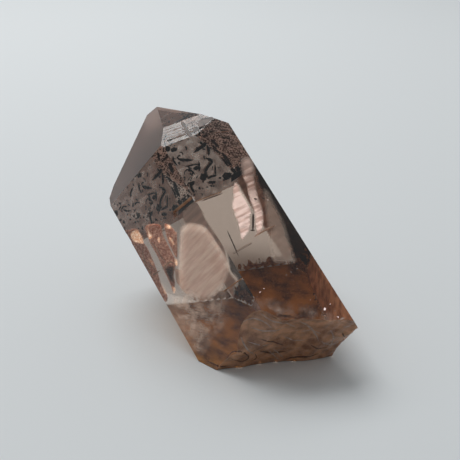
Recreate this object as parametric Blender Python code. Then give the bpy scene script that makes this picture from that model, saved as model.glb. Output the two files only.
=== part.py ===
"""A smoky quartz point that lies back on its broken base.

One solid: a six-sided prism with a six-sided pyramid at its tip, a narrow stepped
facet between the pyramid and the prism, growth ledges, and a conchoidal break at the
foot. Metres, +Z up. The crystal is drawn upright about its own long axis, with its
foot near the origin, then leaned back and cut where it rests on the ground.
"""

import math

import bmesh
import bpy
import numpy as np
from mathutils import Matrix, Vector

MM = 0.001

# Attitude of the long axis
LEAN = math.radians(52.9)
LEAN_HEADING = math.radians(128.3)
ROLL = math.radians(46.5)
AXIS_FOOT = Vector((15.35, 8.09, 4.18)) * MM

# Prism: each side face's azimuth and its distance from the long axis, the fourth one turned
# a little by growth
PRISM_AZIMUTHS = [math.radians(0.0), math.radians(60.0), math.radians(120.0),
                  math.radians(184.0), math.radians(240.0), math.radians(300.0)]
PRISM_DISTANCES = [15.98 * MM, 14.86 * MM, 17.10 * MM, 14.71 * MM, 18.80 * MM, 16.80 * MM]
PRISM_FLARE = math.radians(0.3)

# Pyramid: each face's distance from the foot of the axis, and its slope
PYRAMID_DISTANCES = [39.20 * MM, 36.55 * MM, 39.60 * MM, 36.60 * MM, 36.40 * MM, 34.20 * MM]
PYRAMID_SLOPE = math.radians(38.21)

# Small faces that take off the tip, its left ridge, a back corner and the stepped facet's
# right end: azimuth, slope and distance from the foot of the axis
SMALL_FACES = [
    (math.radians(-165.2), math.radians(57.45), 46.75 * MM),
    (math.radians(-13.3), math.radians(53.84), 44.16 * MM),
    (math.radians(212.0), math.radians(38.21), 33.90 * MM),
    (math.radians(123.7), math.radians(11.4), 24.72 * MM),
]

# Stepped facet between the pyramid and side face 2
STEP_FACE = 2
STEP_FACET_SLOPE = math.radians(19.5)
STEP_FACET_DISTANCE = 29.40 * MM
STEP_FACET_START = 39.8 * MM
STEP_FACET_HEIGHT = 4.6 * MM
STEP_COUNT = 6
STEP_DEPTH = 0.06 * MM

# Growth ledges: side face, middle across and along the face, length, width, depth, turn
LEDGES = [
    (1, 7.6 * MM, 26.6 * MM, 6.6 * MM, 1.25 * MM, 0.55 * MM, math.radians(-7.0)),
    (2, -4.6 * MM, 25.1 * MM, 6.2 * MM, 0.30 * MM, 0.20 * MM, math.radians(-2.0)),
    (2, 5.3 * MM, 37.7 * MM, 5.2 * MM, 0.22 * MM, 0.14 * MM, math.radians(-17.0)),
    (1, 8.2 * MM, 7.0 * MM, 5.8 * MM, 0.45 * MM, 0.25 * MM, math.radians(-6.0)),
    (2, 2.0 * MM, 13.6 * MM, 5.0 * MM, 0.20 * MM, 0.12 * MM, math.radians(4.0)),
    (4, 5.5 * MM, 24.0 * MM, 6.0 * MM, 0.35 * MM, 0.18 * MM, math.radians(3.0)),
    (5, -4.5 * MM, 19.0 * MM, 5.0 * MM, 0.30 * MM, 0.16 * MM, math.radians(-4.0)),
    (0, 1.0 * MM, 24.0 * MM, 5.0 * MM, 0.30 * MM, 0.16 * MM, math.radians(2.0)),
]
LEDGE_RISE = 0.5 * MM

# Front break, from the ground line up to side face 2
FRONT_POINT = Vector((12.5, -1.7, 0.0)) * MM
FRONT_HEADING = math.radians(-78.5)
FRONT_OVERHANG = math.radians(30.5)
FRONT_WIDTH = 46.0 * MM
FRONT_HEIGHT = 28.0 * MM
FRONT_SCOOPS = [
    (-4.5 * MM, 14.5 * MM, 9.0 * MM, 5.2 * MM),
    (5.0 * MM, 13.0 * MM, 10.5 * MM, 2.0 * MM),
    (12.5 * MM, 12.5 * MM, 7.5 * MM, 1.2 * MM),
    (2.0 * MM, 5.0 * MM, 8.5 * MM, 1.2 * MM),
    (16.5 * MM, 4.5 * MM, 6.5 * MM, 0.9 * MM),
    (-7.0 * MM, 4.0 * MM, 6.0 * MM, 0.8 * MM),
]

# Right break, from the ground line up to the corner of side faces 2 and 3
RIGHT_POINT = Vector((27.7, 1.4, 0.0)) * MM
RIGHT_HEADING = math.radians(14.0)
RIGHT_OVERHANG = math.radians(15.3)
RIGHT_WIDTH = 60.0 * MM
RIGHT_HEIGHT = 30.0 * MM
RIGHT_SCOOPS = [
    (-3.5 * MM, 2.5 * MM, 4.5 * MM, 0.40 * MM),
    (-5.0 * MM, 8.2 * MM, 3.0 * MM, 0.50 * MM),
    (5.0 * MM, 7.5 * MM, 8.0 * MM, 0.9 * MM),
    (14.0 * MM, 9.0 * MM, 10.0 * MM, 1.1 * MM),
]

# Curved ribs on both breaks, spreading from a blow beyond the upper left corner
RIB_ORIGIN = (-15.0 * MM, 24.0 * MM)
RIB_SPACING = 2.10 * MM
RIB_DEPTH = 0.06 * MM
BREAK_CELL = 0.70 * MM
CUTTER_THICKNESS = 24.0 * MM

# Knocks on the sharp edges: face pair's azimuth, place along the axis, size
EDGE_KNOCKS = [
    (math.radians(30.0), 31.0 * MM, 0.70 * MM),
    (math.radians(30.0), 12.5 * MM, 0.55 * MM),
    (math.radians(150.0), 4.0 * MM, 0.60 * MM),
    (math.radians(270.0), 18.0 * MM, 0.90 * MM),
    (math.radians(330.0), 27.0 * MM, 0.80 * MM),
    (math.radians(210.0), 9.0 * MM, 0.75 * MM),
]

BLANK_SIZE = 240.0 * MM
MERGE_DISTANCE = 0.00001

QUARTZ_COLOR = (0.40, 0.31, 0.27, 1.0)
QUARTZ_ROUGHNESS = 0.08


def clear_scene():
    """Remove every object, so the script gives the same model each run."""
    for obj in list(bpy.data.objects):
        bpy.data.objects.remove(obj, do_unlink=True)


def lateral(azimuth):
    """Unit vector square to the long axis, at an azimuth around it."""
    return Vector((math.cos(azimuth), math.sin(azimuth), 0.0))


def sloped(azimuth, slope):
    """Unit normal that rises from the lateral direction by a slope."""
    return lateral(azimuth) * math.cos(slope) + Vector((0.0, 0.0, math.sin(slope)))


def placement():
    """Matrix from the upright crystal to its leaning place on the ground."""
    turn = Matrix.Rotation(LEAN_HEADING, 4, "Z") @ Matrix.Rotation(LEAN, 4, "Y")
    return Matrix.Translation(AXIS_FOOT) @ turn @ Matrix.Rotation(ROLL, 4, "Z")


def cut(bm, point, normal):
    """Cut off what lies outside a plane and close the cut with one face."""
    geometry = bm.verts[:] + bm.edges[:] + bm.faces[:]
    result = bmesh.ops.bisect_plane(
        bm, geom=geometry, dist=MERGE_DISTANCE * 0.1, plane_co=point, plane_no=normal,
        clear_outer=True,
    )
    rim = [item for item in result["geom_cut"] if isinstance(item, bmesh.types.BMEdge)]
    if rim:
        bmesh.ops.contextual_create(bm, geom=rim)


def crystal_blank():
    """The whole crystal with flat faces, upright, longer than needed at its foot."""
    bm = bmesh.new()
    bmesh.ops.create_cube(bm, size=BLANK_SIZE)
    for azimuth, distance in zip(PRISM_AZIMUTHS, PRISM_DISTANCES):
        normal = sloped(azimuth, -PRISM_FLARE)
        cut(bm, normal * distance, normal)
    for face, distance in enumerate(PYRAMID_DISTANCES):
        normal = sloped(math.radians(60.0 * face), PYRAMID_SLOPE)
        cut(bm, normal * distance, normal)
    for azimuth, slope, distance in SMALL_FACES:
        normal = sloped(azimuth, slope)
        cut(bm, normal * distance, normal)
    stepped = sloped(PRISM_AZIMUTHS[STEP_FACE], STEP_FACET_SLOPE)
    cut(bm, stepped * STEP_FACET_DISTANCE, stepped)
    bm.transform(placement())
    cut(bm, Vector((0.0, 0.0, 0.0)), Vector((0.0, 0.0, -1.0)))
    return bm


def mesh_object(name, bm, material=None):
    """Object in the scene that holds a bmesh, with its faces turned outward."""
    bmesh.ops.recalc_face_normals(bm, faces=bm.faces[:])
    mesh = bpy.data.meshes.new(name)
    bm.to_mesh(mesh)
    bm.free()
    obj = bpy.data.objects.new(name, mesh)
    bpy.context.scene.collection.objects.link(obj)
    if material is not None:
        mesh.materials.append(material)
    return obj


def make_cutter(name, bm):
    """A shape that is only taken away from the crystal."""
    cutter = mesh_object(name, bm)
    cutter.hide_render = True
    cutter.display_type = "WIRE"
    return cutter


def side_frame(face, across, along, turn):
    """Matrix of a place on a side face: X across it, Y along the crystal, Z outward."""
    azimuth = PRISM_AZIMUTHS[face]
    outward = lateral(azimuth)
    axes = Matrix((Vector((-outward.y, outward.x, 0.0)), Vector((0.0, 0.0, 1.0)), outward))
    at = outward * (PRISM_DISTANCES[face] + math.tan(PRISM_FLARE) * along)
    at = at + axes[0] * across + Vector((0.0, 0.0, along))
    frame = Matrix.Translation(at) @ axes.transposed().to_4x4()
    return frame @ Matrix.Rotation(turn, 4, "Z")


def ledge_cutter(name, face, across, along, length, width, depth, turn):
    """A shallow ledge with one steep side and one long slope, as growth leaves it."""
    bm = bmesh.new()
    profile = [(-width * 0.5, LEDGE_RISE), (-width * 0.5, 0.0), (-width * 0.28, -depth),
               (width * 0.22, -depth), (width * 0.5, 0.0), (width * 0.5, LEDGE_RISE)]
    ends = []
    for x in (-length * 0.5, length * 0.5):
        ends.append([bm.verts.new((x, y, z)) for y, z in profile])
    for i in range(len(profile)):
        j = (i + 1) % len(profile)
        bm.faces.new((ends[0][i], ends[0][j], ends[1][j], ends[1][i]))
    bm.faces.new(ends[0])
    bm.faces.new(list(reversed(ends[1])))
    bm.transform(placement() @ side_frame(face, across, along, turn))
    return make_cutter(name, bm)


def step_cutters():
    """Fine stairs cut into the stepped facet, each with its own short reach."""
    azimuth = PRISM_AZIMUTHS[STEP_FACE]
    normal = sloped(azimuth, STEP_FACET_SLOPE)
    across = Vector((-math.sin(azimuth), math.cos(azimuth), 0.0))
    upward = across.cross(normal) * -1.0
    base = lateral(azimuth) * PRISM_DISTANCES[STEP_FACE] + Vector((0.0, 0.0, STEP_FACET_START))
    foot = base + normal * (STEP_FACET_DISTANCE - base.dot(normal))
    cutters = []
    for step in range(STEP_COUNT):
        share = (step + 0.5) / STEP_COUNT
        reach = (9.5 - 2.0 * math.sin(2.4 * step)) * MM
        middle = (-2.2 + 1.1 * math.cos(1.7 * step)) * MM
        bm = bmesh.new()
        pitch = STEP_FACET_HEIGHT / STEP_COUNT
        slope_run = 0.63 * pitch * (1.0 + LEDGE_RISE / STEP_DEPTH)
        profile = [(0.0, LEDGE_RISE), (0.12 * pitch, -STEP_DEPTH),
                   (0.12 * pitch + slope_run, LEDGE_RISE)]
        rings = []
        for x in (-reach * 0.5, reach * 0.5):
            ring = []
            for y, z in profile:
                spot = foot + across * (middle + x) + normal * z
                ring.append(bm.verts.new(spot + upward * (share * STEP_FACET_HEIGHT + y)))
            rings.append(ring)
        for i in range(len(profile)):
            j = (i + 1) % len(profile)
            bm.faces.new((rings[0][i], rings[0][j], rings[1][j], rings[1][i]))
        bm.faces.new(rings[0])
        bm.faces.new(list(reversed(rings[1])))
        bm.transform(placement())
        cutters.append(make_cutter(f"step_cutter_{step}", bm))
    return cutters


def scooped_depth(across, up, scoops):
    """Depth of a conchoidal surface: the deepest of its overlapping shells, with ribs."""
    deepest = 0.0
    for centre_across, centre_up, radius, depth in scoops:
        distance = math.hypot(across - centre_across, up - centre_up)
        deepest = max(deepest, depth * (1.0 - (distance / radius) ** 2))
    spread = math.hypot(across - RIB_ORIGIN[0], up - RIB_ORIGIN[1])
    rib = RIB_DEPTH * math.sin(2.0 * math.pi * spread / RIB_SPACING)
    return deepest + rib * min(1.0, deepest / (3.0 * RIB_DEPTH))


def break_cutter(name, point, heading, overhang, width, height, scoops):
    """Block whose inner side is a conchoidal break, standing on the ground line."""
    outward = Vector((math.cos(heading), math.sin(heading), 0.0))
    across = Vector((-math.sin(heading), math.cos(heading), 0.0))
    normal = outward * math.cos(overhang) - Vector((0.0, 0.0, math.sin(overhang)))
    upward = outward * math.sin(overhang) + Vector((0.0, 0.0, math.cos(overhang)))
    columns = math.ceil(width / BREAK_CELL)
    rows = math.ceil(height / BREAK_CELL)
    below = 4.0 * MM
    bm = bmesh.new()
    inner, outer = [], []
    for row in range(rows + 1):
        up = -below + height * row / rows
        inner_row, outer_row = [], []
        for column in range(columns + 1):
            side = width * (column / columns - 0.5)
            spot = point + across * side + upward * up
            inner_row.append(bm.verts.new(spot - normal * scooped_depth(side, up, scoops)))
            on_rim = row in (0, rows) or column in (0, columns)
            outer_row.append(bm.verts.new(spot + normal * CUTTER_THICKNESS) if on_rim else None)
        inner.append(inner_row)
        outer.append(outer_row)
    for row in range(rows):
        for column in range(columns):
            a, b = inner[row][column], inner[row][column + 1]
            c, d = inner[row + 1][column + 1], inner[row + 1][column]
            bm.faces.new((a, b, c))
            bm.faces.new((a, c, d))
    rim = [(0, column) for column in range(columns)]
    rim += [(row, columns) for row in range(rows)]
    rim += [(rows, column) for column in range(columns, 0, -1)]
    rim += [(row, 0) for row in range(rows, 0, -1)]
    for i, (row, column) in enumerate(rim):
        next_row, next_column = rim[(i + 1) % len(rim)]
        bm.faces.new((inner[row][column], inner[next_row][next_column],
                      outer[next_row][next_column], outer[row][column]))
    bm.faces.new([outer[row][column] for row, column in rim])
    return make_cutter(name, bm)


def edge_radius(azimuth):
    """Distance from the long axis to the edge between the two faces beside an azimuth."""
    before = int(math.degrees(azimuth) // 60) % 6
    after = (before + 1) % 6
    first, second = lateral(PRISM_AZIMUTHS[before]), lateral(PRISM_AZIMUTHS[after])
    across = np.array([[first.x, first.y], [second.x, second.y]])
    distances = np.array([PRISM_DISTANCES[before], PRISM_DISTANCES[after]])
    x, y = np.linalg.solve(across, distances)
    return Vector((x, y, 0.0))


def knock_cutter(name, azimuth, along, size):
    """A small faceted ball that bites a chip out of an edge."""
    bm = bmesh.new()
    bmesh.ops.create_icosphere(bm, subdivisions=1, radius=size * 2.0)
    corner = edge_radius(azimuth)
    spot = corner + corner.normalized() * size * 1.35 + Vector((0.0, 0.0, along))
    stretch = Matrix.Diagonal((0.8, 0.8, 1.6, 1.0))
    turn = Matrix.Rotation(azimuth * 1.7, 4, "Z") @ Matrix.Rotation(0.6, 4, "X")
    bm.transform(placement() @ Matrix.Translation(spot) @ stretch @ turn)
    return make_cutter(name, bm)


def subtract(obj, cutter):
    modifier = obj.modifiers.new(cutter.name, "BOOLEAN")
    modifier.operation = "DIFFERENCE"
    modifier.solver = "EXACT"
    modifier.object = cutter


def quartz_material():
    material = bpy.data.materials.new("smoky_quartz")
    material.use_nodes = True
    shader = material.node_tree.nodes["Principled BSDF"]
    shader.inputs["Base Color"].default_value = QUARTZ_COLOR
    shader.inputs["Roughness"].default_value = QUARTZ_ROUGHNESS
    shader.inputs["Metallic"].default_value = 0.0
    return material


def settle(obj):
    """Bake the cuts, then put the middle of the model's footprint box on the origin."""
    depsgraph = bpy.context.evaluated_depsgraph_get()
    baked = bpy.data.meshes.new_from_object(obj.evaluated_get(depsgraph))
    obj.modifiers.clear()
    obj.data = baked
    bm = bmesh.new()
    bm.from_mesh(baked)
    bmesh.ops.remove_doubles(bm, verts=bm.verts[:], dist=MERGE_DISTANCE)
    bmesh.ops.dissolve_degenerate(bm, dist=MERGE_DISTANCE, edges=bm.edges[:])
    bmesh.ops.triangulate(bm, faces=bm.faces[:])
    points = np.array([vertex.co[:] for vertex in bm.verts])
    low, high = points.min(axis=0), points.max(axis=0)
    shift = Vector((-(low[0] + high[0]) / 2.0, -(low[1] + high[1]) / 2.0, -low[2]))
    bmesh.ops.translate(bm, verts=bm.verts[:], vec=shift)
    bm.to_mesh(baked)
    bm.free()


def build():
    clear_scene()
    crystal = mesh_object("quartz_crystal", crystal_blank(), quartz_material())
    cutters = [
        break_cutter("front_break", FRONT_POINT, FRONT_HEADING, FRONT_OVERHANG,
                     FRONT_WIDTH, FRONT_HEIGHT, FRONT_SCOOPS),
        break_cutter("right_break", RIGHT_POINT, RIGHT_HEADING, RIGHT_OVERHANG,
                     RIGHT_WIDTH, RIGHT_HEIGHT, RIGHT_SCOOPS),
    ]
    for index, ledge in enumerate(LEDGES):
        cutters.append(ledge_cutter(f"ledge_{index}", *ledge))
    cutters += step_cutters()
    for index, knock in enumerate(EDGE_KNOCKS):
        cutters.append(knock_cutter(f"knock_{index}", *knock))
    for cutter in cutters:
        subtract(crystal, cutter)
    bpy.context.view_layer.update()
    settle(crystal)


build()
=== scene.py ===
"""Looks of a himalayan smoky quartz point: clear smoky body, phantom cap of dark flecks,
healed cracks, bright growth planes and an iron-stained foot, on a pale studio floor.

Everything is in metres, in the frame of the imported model, which stands on z = 0.
"""

import math

import bmesh
import bpy
import numpy as np
from bpy.props import FloatProperty, FloatVectorProperty, IntProperty, PointerProperty
from mathutils import Matrix, Vector, noise
from mathutils.bvhtree import BVHTree


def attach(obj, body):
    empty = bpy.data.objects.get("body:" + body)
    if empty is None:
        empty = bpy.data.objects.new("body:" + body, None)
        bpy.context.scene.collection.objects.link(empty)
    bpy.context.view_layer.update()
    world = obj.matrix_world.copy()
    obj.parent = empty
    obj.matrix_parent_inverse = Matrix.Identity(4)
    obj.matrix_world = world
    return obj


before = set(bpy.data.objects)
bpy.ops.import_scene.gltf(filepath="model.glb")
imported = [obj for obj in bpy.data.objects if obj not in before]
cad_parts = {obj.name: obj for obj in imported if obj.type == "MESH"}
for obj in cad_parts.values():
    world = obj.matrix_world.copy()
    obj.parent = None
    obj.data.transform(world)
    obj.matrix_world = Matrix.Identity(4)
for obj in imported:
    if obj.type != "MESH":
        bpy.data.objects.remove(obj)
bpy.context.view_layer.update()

bl_info = {
    "name": "Smoky Quartz Point",
    "version": (1, 0, 0),
    "blender": (4, 5, 0),
    "location": "View3D > Sidebar > Quartz",
    "description": "Dresses a smoky quartz point with its inclusions and a plain stage",
    "category": "Object",
}

MM = 0.001
BODY = "root"
NODE = "quartz_crystal"

# Attitude of the crystal's long axis, as the solid has it
LEAN = math.radians(52.9)
LEAN_HEADING = math.radians(128.3)
ROLL = math.radians(46.5)
AXIS_FOOT = Vector((9.901, -11.234, 4.180)) * MM

# Flat faces of the solid: azimuth and slope in degrees, distance from the foot of the axis in mm
FACES = {
    "side 0": (0.0, -0.3, 15.98),
    "side 1": (60.0, -0.3, 14.86),
    "side 2": (120.0, -0.3, 17.10),
    "side 3": (184.0, -0.3, 14.71),
    "side 4": (240.0, -0.3, 18.80),
    "side 5": (300.0, -0.3, 16.80),
    "tip 0": (0.0, 38.21, 39.20),
    "tip 1": (60.0, 38.21, 36.55),
    "tip 2": (120.0, 38.21, 39.60),
    "tip 3": (180.0, 38.21, 36.60),
    "tip 4": (240.0, 38.21, 36.40),
    "tip 5": (300.0, 38.21, 34.20),
    "tip chip": (212.0, 38.21, 33.90),
    "top corner": (-165.2, 57.45, 46.75),
    "left ridge": (-13.3, 53.84, 44.16),
    "band": (120.0, 19.5, 29.40),
    "band corner": (121.46, 4.38, 20.26),
}

# Planes inside the crystal, given in the same way
INNER_PLANES = {
    "healed crack": (60.0, -0.3, 0.46),
    "haze": (60.0, -0.3, 14.26),
    "left gleam": (116.0, 10.0, 11.61),
    "right gleam": (116.0, 12.5, 11.68),
}
AMBER_TILT = (99.0, 29.0)
GLINT_TILT = (116.0, 14.0)
FRONT_BREAK = Vector((0.172, -0.844, -0.508))
RIGHT_BREAK = Vector((0.936, 0.233, -0.264))

# Depth in mm of what lies on the inner side of a face
SKIN = 0.08

# The photograph: its side in pixels, and the camera's view angle, place and tilt from
# looking straight down
PHOTO_SIDE = 460
VIEW_ANGLE = math.radians(32.0)
CAMERA_AT = Vector((0.992, -157.150, 93.993)) * MM
CAMERA_TILT = math.radians(65.0)
QUARTZ_IOR = 1.544

# The foot was read on the photograph enlarged so many times from this pixel
ZOOM = 3.4
ZOOM_CORNER = 95

# Dark marks on the hidden tip face 5: width, then points across the face and up it, in mm
FLECK_STROKES = [
    (0.95, [(-9.5, 31.1), (-8.7, 30.0), (-7.6, 29.0), (-6.2, 28.6), (-4.4, 28.1)]),
    (0.60, [(-6.8, 30.1), (-7.3, 29.0)]),
    (0.70, [(-8.2, 28.6), (-8.0, 27.1), (-7.6, 25.9)]),
    (0.34, [(-15.0, 29.6), (-12.0, 30.4), (-9.5, 31.1)]),
    (1.90, [(-10.7, 29.2), (-10.6, 27.6), (-10.4, 26.0), (-10.2, 24.9)]),
    (0.85, [(-10.3, 25.0), (-10.7, 23.6), (-11.2, 21.5)]),
    (0.70, [(-6.2, 25.7), (-7.0, 25.3), (-7.8, 24.2), (-7.1, 23.6), (-6.0, 23.0), (-4.6, 21.3)]),
    (0.65, [(-5.2, 20.4), (-6.4, 20.6), (-7.6, 20.3)]),
    (0.65, [(-4.9, 19.5), (-6.0, 19.1), (-6.9, 18.8)]),
    (0.34, [(-8.2, 23.0), (-7.8, 21.6), (-7.4, 20.5)]),
    (0.42, [(-4.8, 24.8), (-3.4, 25.2), (-1.3, 25.5)]),
    (0.50, [(-4.7, 25.2), (-4.4, 24.0), (-4.0, 23.1)]),
    (0.70, [(-3.6, 26.4), (-2.2, 27.0), (-1.0, 27.6), (-0.2, 28.4)]),
    (0.50, [(0.4, 26.6), (0.8, 28.0), (0.5, 29.2)]),
    (0.70, [(-2.1, 21.2), (-0.9, 20.4), (-1.0, 18.4)]),
    (0.45, [(-1.4, 24.5), (-2.5, 23.6), (-2.7, 22.7)]),
    (0.45, [(5.2, 24.0), (6.9, 24.5), (8.0, 25.4)]),
    (0.40, [(6.4, 25.4), (7.6, 25.9), (8.8, 25.3)]),
    (0.50, [(2.8, 28.8), (4.0, 28.0), (4.4, 26.9)]),
    (0.40, [(1.6, 24.6), (2.8, 25.2), (3.6, 24.8)]),
    (1.30, [(-9.0, 33.2), (-8.0, 32.6)]),
    (1.10, [(-14.6, 22.9), (-13.2, 22.3)]),
]
FLECK_RING = (-1.4, 23.6, 1.05, 0.32)
FLECK_BLOBS = [
    (-4.5, 21.3, 1.05, 0.90), (-9.9, 19.1, 1.15, 0.95), (-12.6, 19.4, 1.05, 1.60),
    (-8.2, 19.4, 0.35, 0.30), (-8.9, 18.5, 0.35, 0.25), (-3.7, 24.2, 0.80, 0.55),
    (-0.3, 30.7, 0.75, 0.60), (1.1, 31.5, 0.70, 0.65), (3.1, 22.1, 0.65, 0.70),
    (4.6, 20.9, 0.30, 0.25), (10.6, 25.2, 0.80, 0.75), (8.7, 22.5, 0.35, 0.35),
    (9.2, 20.9, 0.30, 0.30), (-1.2, 20.9, 0.80, 0.65), (-6.0, 18.1, 0.30, 0.22),
    (1.4, 21.0, 0.28, 0.30), (6.2, 22.2, 0.30, 0.25), (-2.6, 19.0, 0.30, 0.35),
]

# Dark marks on the two hidden tip faces beside it: face, width and points
BACK_STROKES = [
    ("tip chip", 1.10, [(4.6, 28.6), (5.4, 27.9), (7.4, 26.3)]),
    ("tip chip", 0.50, [(5.8, 30.5), (4.3, 30.2), (2.7, 29.7)]),
    ("tip chip", 0.70, [(3.3, 32.6), (4.6, 31.9), (5.5, 31.1)]),
    ("tip chip", 0.60, [(8.0, 27.9), (8.8, 26.6)]),
    ("tip chip", 0.50, [(1.0, 26.6), (-0.2, 25.6), (-0.6, 24.2)]),
    ("tip chip", 0.45, [(3.4, 26.0), (2.4, 24.8)]),
    ("tip 4", 0.90, [(3.3, 23.2), (4.2, 21.5), (5.5, 19.5)]),
    ("tip 4", 1.20, [(6.2, 18.8), (6.7, 17.0)]),
    ("tip 4", 1.10, [(4.5, 18.2), (5.7, 16.5)]),
    ("tip 4", 0.60, [(4.5, 20.8), (5.3, 19.0)]),
    ("tip 4", 0.50, [(3.8, 25.5), (3.7, 23.1)]),
    ("tip 4", 0.45, [(2.6, 21.0), (1.6, 19.6), (0.2, 19.0)]),
    ("tip 4", 0.55, [(-2.8, 26.2), (-1.2, 25.0), (-0.6, 23.4)]),
]

# Outlines and lines read on the photograph, in its pixels. Each was seen through side 1 or
# side 2 of the crystal, and seen() bends it back to the plane that it lies on.

# Copper-brown patches of the healed crack, between clean streaks, through side 1
HEALED_PATCHES = [
    [(127, 237), (131, 229), (139, 229), (143, 240), (148, 247), (152, 255), (158, 270),
     (163, 285), (169, 297), (161, 297)],
    [(146, 226), (160, 224), (165, 236), (172, 250), (177, 262), (175, 275), (176, 283),
     (174, 293), (171, 285), (163, 268), (157, 255), (150, 242)],
    [(165, 224), (171, 225), (176, 231), (178, 234), (178, 258), (171, 247), (167, 236)],
]

# Amber flakes over it, tilted to the light: a pixel, its depth in mm and the outline
AMBER_PATCHES = [
    ((137, 236), 11.8, [(130, 234), (134, 230), (139, 231), (144, 240), (143, 244), (138, 243),
                        (133, 241)]),
    ((150, 233), 12.2, [(147, 226), (150, 232), (153, 236), (151, 239), (148, 238)]),
    ((175, 290), 12.6, [(172, 286), (176, 288), (175, 293), (173, 293)]),
    ((169, 227), 12.4, [(166, 224), (171, 225), (171, 229), (167, 229)]),
    ((159, 240), 12.8, [(157, 237), (160, 237), (160, 242), (158, 242)]),
    ((150, 262), 12.6, [(148, 258), (151, 259), (154, 266), (151, 264)]),
    ((163, 290), 12.6, [(161, 284), (163, 285), (167, 294), (164, 293)]),
    ((171, 240), 12.6, [(168, 236), (172, 238), (175, 245), (172, 244)]),
    ((176, 262), 12.6, [(174, 258), (178, 260), (178, 266), (175, 265)]),
]

# Dark root of the crack, and the pale threads over it: width and points
SHADE_PATCHES = [
    [(165, 268), (171, 264), (176, 266), (175, 275), (176, 282), (173, 282), (170, 279)],
]
HEALED_LINES = [
    (0.26, [(144, 250), (147, 262), (151, 270), (156, 279)]),
    (0.26, [(150, 262), (158, 271), (155, 275)]),
    (0.30, [(155, 275), (162, 270)]),
    (0.24, [(152, 241), (158, 247), (163, 256), (168, 263)]),
    (0.30, [(164, 269), (172, 262), (177, 264)]),
]

# Bright growth planes through side 2, with their dim ends and their dark and pale lines
GLEAM_LEFT = [
    [(236, 181), (232, 190), (233, 199), (231, 203), (233, 212), (236, 220), (238, 226),
     (239, 233), (240, 238), (242, 241), (246, 237), (250, 230), (251, 224), (251, 215),
     (252, 212), (249, 204), (246, 198), (241, 190)],
]
GLEAM_RIGHT = [
    [(243, 176), (253, 175), (255, 180), (257, 190), (259, 198), (262, 205), (264, 215),
     (263.5, 225), (262, 232), (255, 237), (256, 233), (255, 225), (254, 215), (252, 208),
     (250, 202), (248, 195), (246, 185)],
]
GLEAM_TOP = [
    [(240, 158), (252, 157), (255, 176), (243, 177)],
]
GLEAM_EDGE = [
    [(263, 188), (270, 192), (277, 206), (284, 219), (289, 233), (293, 248), (297, 262),
     (284, 264), (272, 262), (268, 245), (267, 232), (264, 205)],
]
GLEAM_DARK = [
    (0.42, [(253, 214), (253.5, 222), (253, 231)]),
    (0.36, [(250, 231), (255, 231)]),
    (0.30, [(254, 199), (257, 200)]),
    (0.35, [(261, 198), (265, 200)]),
]
GLEAM_PALE = [
    (0.40, [(255, 237), (264, 231), (276, 226)]),
]

# Small mirror flakes through side 2: pixel, depth and half width in mm
GLINTS = [
    (260, 292, 1.5, 0.30), (257, 297, 1.2, 0.22), (264, 289, 1.8, 0.25), (325, 309, 1.5, 0.40),
    (338, 317, 1.2, 0.30), (286, 275, 1.5, 0.20), (291, 272, 1.5, 0.20), (297, 269, 1.5, 0.20),
    (268, 200, 2.0, 0.25), (234.5, 168, 2.0, 0.25), (330, 304, 1.5, 0.25),
    (322, 315, 1.3, 0.20), (310, 300.02, 1.5, 0.20), (335, 311, 1.3, 0.20),
]

# Pale striated patch of the healed crack, through side 1
PALE_STRIPES = [
    [(176, 268), (183, 270), (186, 276), (190, 286), (192, 293), (187, 294), (181, 287),
     (177, 281)],
]

# The pink haze under side 1, across its plane and along it in mm
HAZE_PATCH = [
    [(2.6, 23.2), (4.3, 24.2), (6.9, 23.4), (9.5, 20.7), (10.0, 18.2), (10.2, 14.9),
     (10.0, 12.2), (9.1, 10.1), (5.0, 8.1), (-0.5, 8.7), (-3.7, 12.1), (-4.4, 15.6)],
]

# Strips that tilt to the light: their turn from the cross direction of side 1, and their slope
LIT_RIDGES = (math.radians(43.7), 1.12)
LOW_RIDGES = (math.radians(43.7), 0.85)
BACK_RIDGES = (math.radians(-43.7), 1.12)

# Dark sheets of painted shade on the inner side of side 4 and of the chip above it, beside the
# frosted patch
PAINTED_SHADE_SHEETS = [
    ("side 4", [(-3.0, 36.0), (0.1, 35.3), (1.9, 32.5), (2.9, 30.5), (3.0, 28.0), (2.9, 25.9),
                (2.7, 23.9), (2.8, 21.4), (3.9, 18.9), (5.1, 16.3), (4.9, 13.4), (7.5, 11.9),
                (5.0, 9.0), (-3.0, 9.0)]),
    ("tip chip", [(6.0, 13.0), (6.0, 19.0), (9.0, 21.0), (12.0, 20.0), (12.0, 13.0)]),
]

# Cloudy veils in the foot, under sides 1 and 2
CLOUD_ON_1 = [(-9.5, 19.8), (-7.1, 16.2), (-3.0, 13.1), (1.4, 10.7), (5.2, 9.0), (5.0, 6.5),
              (2.6, 3.6), (0.6, 1.9), (-4.0, 1.6), (-8.6, 0.6), (-11.1, 2.3), (-11.3, 6.2),
              (-11.1, 11.6)]
CLOUD_ON_2 = [(-7.6, 2.4), (-5.4, 2.3), (-1.7, -0.4), (2.4, -3.3), (6.0, -7.0), (7.6, -10.0),
              (4.9, -10.5), (1.6, -7.5), (-1.4, -5.6), (-5.5, -4.0), (-7.1, -0.5), (-8.4, 1.0)]

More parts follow.
